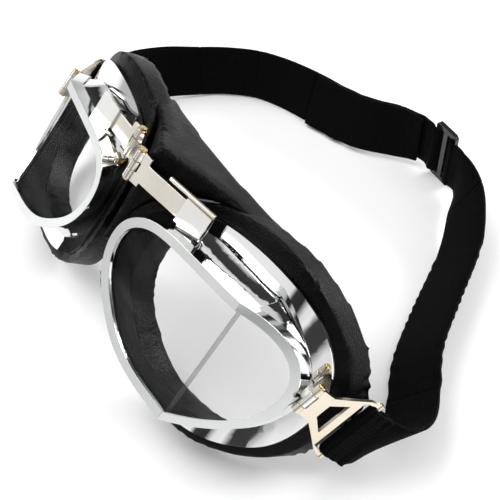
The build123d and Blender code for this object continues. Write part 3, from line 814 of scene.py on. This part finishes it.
# how the strap passes the slider's bars, in metres
weaveLook = {
    "rise": 0.00195,          # centre line above or below the bars
    "overhang": 0.0006,       # woven length past the slider's ends
    "endBar": 0.0019,
    "halfBar": 0.0016,        # half the middle bar, with its clearance
}
sliderRise = weaveLook["rise"]
weaveEnd = sliderHalf + weaveLook["overhang"]
weaveTurn = sliderHalf - weaveLook["endBar"]
rightStations, rightEnd, rightWay = stations(rightPlan, "right")
leftStations, leftEnd, leftWay = stations(leftPlan, "left")
upright = Vector((0, 0, 1))


def byHook(end, way):
    spot, axis = end
    return [(spot - way * 0.009, axis), (spot, axis)]


def atSlider(dx, dy):
    return Vector((sliderAt.x + dx, sliderAt.y + dy, sliderAt.z)), upright


rightRoute = smoothRoute(
    byHook(rightEnd, rightWay) + rightStations + [atSlider(weaveEnd, -sliderRise)])
rightLast = len(rightStations) + 2
used = 0.0
rightCuts = (
    (1.0, 4.0, "right_hook", "right_eyepiece", "strap_right"),
    (4.0, rightLast - 2.0, "right_eyepiece", None, None),
    (rightLast - 2.0, float(rightLast), "right_eyepiece", "strap_slider", None),
)
for number, (t0, t1, first, second, replaced) in enumerate(rightCuts):
    piece, used = ribbon(f"strapRight.{number}", rightRoute, t0, t1, startAt=used)
    if second:
        rightRoute(t0)[0]
        rightRoute(t1)[0]
        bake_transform(piece)
    else:
        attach(piece, first)
    if replaced:
        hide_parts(replaced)

weavePoints = [
    atSlider(weaveEnd, -sliderRise),
    atSlider(weaveTurn, -sliderRise),
    atSlider(weaveLook["halfBar"], sliderRise),
    atSlider(-weaveLook["halfBar"], sliderRise),
    atSlider(-weaveTurn, -sliderRise),
    atSlider(-weaveEnd, -sliderRise),
]
weave, used = ribbon("strapWeave", smoothRoute(weavePoints), 0.0, 5.0, startAt=used, step=0.0008)
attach(weave, "strap_slider")
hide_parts("strap_weave")

leftRoute = smoothRoute(
    [atSlider(-weaveEnd, -sliderRise)] + leftStations + list(reversed(byHook(leftEnd, leftWay)))
)
leftLast = len(leftStations) + 1
leftCuts = (
    (0.0, 2.0, "strap_slider", "right_eyepiece", None),
    (2.0, 5.7, "right_eyepiece", "bridge_bar", "strap_back"),
    (5.7, 8.0, "bridge_bar", "bridge_link", None),
    (8.0, 10.0, "bridge_link", "left_eyepiece", "strap_left"),
    (10.0, float(leftLast), "left_eyepiece", "left_hook", None),
)
for number, (t0, t1, first, second, replaced) in enumerate(leftCuts):
    piece, used = ribbon(f"strapLeft.{number}", leftRoute, t0, t1, startAt=used)
    leftRoute(t0)[0]
    leftRoute(t1)[0]
    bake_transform(piece)
    if replaced:
        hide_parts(replaced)

# the free tail is laid along the strap beside it
tailFrom, tailTo = leftCuts[1][:2]
tail, _ = ribbon("strapTail", leftRoute, 1.0, strapLook["tailEnd"], shift=-strapLook["tailShift"])
leftRoute(tailFrom)[0]
leftRoute(tailTo)[0]
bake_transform(tail)
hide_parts("strap_tail")

# the sewn loop round each hook's bar
loopLook = {
    "barRadius": 0.0021,
    "gap": 0.0001,            # between the two layers, either side of the middle
    "flat": 0.003,            # where the layers start to part
    "spacing": 0.0009,
}
for side in ("right", "left"):
    pin, axis, way = hookFrame(side)
    flat = axis.cross(way).normalized()
    bar = pin + way * hookBar
    radius = loopLook["barRadius"]
    lay = strapLook["thickness"] / 2 + loopLook["gap"]
    end = pin + way * hookReach
    points = [(end + flat * lay, axis), (end - way * loopLook["flat"] + flat * lay, axis)]
    for turn in range(-75, 76, 25):
        angle = math.radians(turn)
        points.append((bar - way * radius * math.cos(angle) - flat * radius * math.sin(angle), axis))
    points += [(end - way * loopLook["flat"] - flat * lay, axis), (end - flat * lay, axis)]
    loop, _ = ribbon(f"strapLoop.{side}", smoothRoute(points), 0.0, float(len(points) - 1), step=loopLook["spacing"])
    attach(loop, f"{side}_hook")
    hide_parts(f"strap_hook_loop_{side}")
print("stage: strap made, millimetres from hook to hook:", round(used * 1000))

# ---- floor, light and camera ----
stageLook = {
    "world": 0.9,
    # height in the sky and brightness
    "skyBands": ((0.10, 0.05), (0.34, 0.03), (0.40, 0.9), (0.58, 0.8),
                 (0.62, 0.04), (0.84, 0.05), (0.9, 0.9)),
    # place across the front wall and brightness
    "flags": ((0.04, 0.03), (0.07, 1.0), (0.20, 1.05), (0.23, 0.04), (0.29, 0.03), (0.32, 0.95),
              (0.44, 1.0), (0.545, 0.95), (0.57, 0.04), (0.63, 0.03), (0.66, 0.9), (0.70, 1.0),
              (0.73, 0.05), (0.79, 0.05), (0.82, 0.85), (0.93, 0.95)),
    "key": 9.0,
    "fill": 3.0,
    "back": 9.0,
    "exposure": 0.12,
}
deselectAll()
bpy.ops.mesh.primitive_plane_add(size=6, location=(0, 0, -0.0004))
floor = bpy.context.object
floor.name = "floor"
paper = Finish("floorPaper", Roughness=0.6)
grainy = paper.noise(paper.place(), 40.0, 2.0)
paper.feed(Base_Color=paper.mixColor(grainy, (0.90, 0.90, 0.90), (0.94, 0.94, 0.94)))
floor.data.materials.append(paper.material)

world = bpy.data.worlds.new("studio")
scene.world = world
world.use_nodes = True
sky = Maker(world.node_tree)
direction = sky.node("TexCoord")
skySide, skyFront, skyHeight = (sky.node("SeparateXYZ", axis, Vector=direction) for axis in range(3))
# the side in front of the lenses is a white wall with dark flags, and the rest has level bands
frontWall = (skyFront * -2.2 + 0.35).maths("MINIMUM", 1.0).maths("MAXIMUM", 0.0)
skyStops = [(0.0, (0.60, 0.60, 0.60)), (1.0, (1.0, 1.0, 1.0))]
skyStops += [(place, (level, level, level * 1.02)) for place, level in stageLook["skyBands"]]
flagStops = [(0.0, (0.02, 0.02, 0.02)), (1.0, (0.02, 0.02, 0.02))]
flagStops += [(place, (level, level, level)) for place, level in stageLook["flags"]]
bands = sky.node("ValToRGB", settings={"stops": skyStops}, Fac=skyHeight)
flags = sky.node("ValToRGB", settings={"stops": flagStops}, Fac=(skySide + 1) * 0.5)
background = sky.tree.nodes["Background"]
sky.join(sky.mixColor(frontWall, bands, flags), background.inputs[0])
sky.join(stageLook["world"], background.inputs[1])
scene.view_settings.view_transform = "Standard"
scene.view_settings.exposure = stageLook["exposure"]


def areaLight(name, spot, aim, size, power):
    bpy.ops.object.light_add(type="AREA", location=spot)
    lamp = bpy.context.object
    lamp.name = name
    lamp.data.shape = "RECTANGLE"
    lamp.data.size = size[0]
    lamp.data.size_y = size[1]
    lamp.data.energy = power
    lamp.rotation_euler = (Vector(aim) - Vector(spot)).to_track_quat("-Z", "Y").to_euler()
    return lamp


areaLight("keyLight", (-0.5, -0.35, 0.95), (0, 0, 0), (0.9, 0.9), stageLook["key"])
areaLight("backLight", (0.15, 0.95, 0.42), (0.03, -0.03, 0), (0.6, 0.4), stageLook["back"])
areaLight("fillLight", (0.8, 0.5, 0.7), (0, 0, 0), (0.7, 0.7), stageLook["fill"])

cameraLook = {
    "spot": (0.25127, -0.16383, 0.35741),
    "right": (0.52278, 0.85247, 0),
    "up": (-0.65486, 0.40162, 0.64021),
    "lens": 77.95,
}
right, up = Vector(cameraLook["right"]), Vector(cameraLook["up"])
bpy.ops.object.camera_add(location=cameraLook["spot"])
camera = bpy.context.object
camera.name = "camera"
camera.data.lens = cameraLook["lens"]
camera.data.sensor_width = 36
camera.data.clip_start = 0.01
camera.rotation_euler = Matrix((right, up, right.cross(up))).transposed().to_euler()
scene.camera = camera

print("stage: scene ready")
